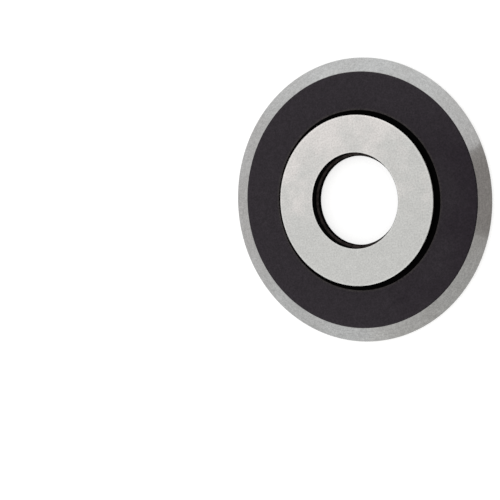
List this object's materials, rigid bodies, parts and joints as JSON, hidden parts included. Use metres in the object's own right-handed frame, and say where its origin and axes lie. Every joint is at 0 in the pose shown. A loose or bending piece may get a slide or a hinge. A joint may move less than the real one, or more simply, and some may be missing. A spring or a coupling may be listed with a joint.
{
  "type": "circular slitter knife",
  "caption": "Circular slitter knife: steel disc bevelled to a cutting edge, with an arbor bore, a bonded rubber stripper ring and a raised ground hub ring on its front face.",
  "frame": {"origin": "centre of the arbor bore on the disc's flat back face, which it lies on", "axes": "+Z along the bore axis, from the back face towards the hub ring's face"},
  "size_m": [0.255, 0.255, 0.012],
  "materials": {
    "knife_steel": "ground tool steel, bright on the bevels and the back, blackened on the front face and in the bore",
    "stripper_rubber": "matte black moulded rubber",
    "hub_steel": "fine surface-ground front face, blackened walls"
  },
  "bodies": {
    "root": {"knife_disc": "knife_steel", "stripper_ring": "stripper_rubber", "hub_ring": "hub_steel"}
  },
  "joints": []
}
